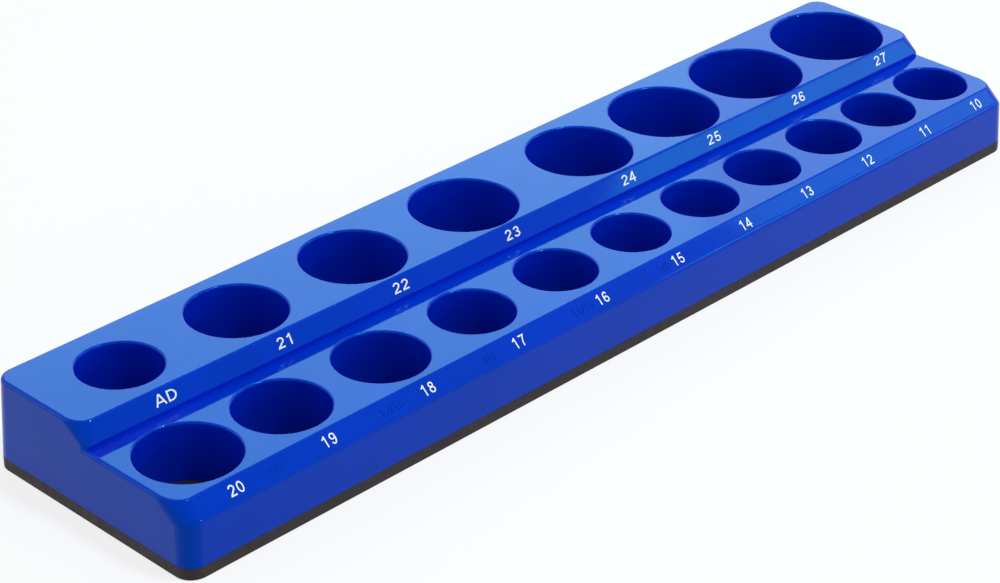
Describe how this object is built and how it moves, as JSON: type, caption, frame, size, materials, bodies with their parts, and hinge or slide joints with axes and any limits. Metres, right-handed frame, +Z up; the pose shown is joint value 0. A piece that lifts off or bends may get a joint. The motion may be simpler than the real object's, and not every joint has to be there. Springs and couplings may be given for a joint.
{
  "type": "socket rail",
  "caption": "Two-tier moulded tray that stores drive sockets upright in round wells, on a magnetic base plate.",
  "frame": {"origin": "on the ground, under the middle of the footprint", "axes": "+X along the length, towards the narrowest front well; -Y towards the low front tier; +Z up"},
  "size_m": [0.355, 0.0834, 0.0288],
  "materials": {
    "gloss_blue_abs": "injection moulded, glossy",
    "matt_dark_base": "moulded, dull brown-black",
    "nickel_plate": "bright nickel plate on sintered magnet",
    "zinc_plated_steel": "bright zinc plate"
  },
  "bodies": {
    "root": {"tray_body": "gloss_blue_abs", "base_plate": "matt_dark_base", "magnet_20": "nickel_plate", "magnet_19": "nickel_plate", "magnet_18": "nickel_plate", "magnet_17": "nickel_plate", "magnet_16": "nickel_plate", "magnet_15": "nickel_plate", "magnet_14": "nickel_plate", "magnet_13": "nickel_plate", "magnet_12": "nickel_plate", "magnet_11": "nickel_plate", "magnet_10": "nickel_plate", "magnet_AD": "nickel_plate", "magnet_21": "nickel_plate", "magnet_22": "nickel_plate", "magnet_23": "nickel_plate", "magnet_24": "nickel_plate", "magnet_25": "nickel_plate", "magnet_26": "nickel_plate", "magnet_27": "nickel_plate", "base_screw_1": "zinc_plated_steel", "base_screw_2": "zinc_plated_steel", "base_screw_3": "zinc_plated_steel", "base_screw_4": "zinc_plated_steel", "base_screw_5": "zinc_plated_steel", "base_screw_6": "zinc_plated_steel", "base_screw_7": "zinc_plated_steel", "base_screw_8": "zinc_plated_steel"}
  },
  "joints": []
}
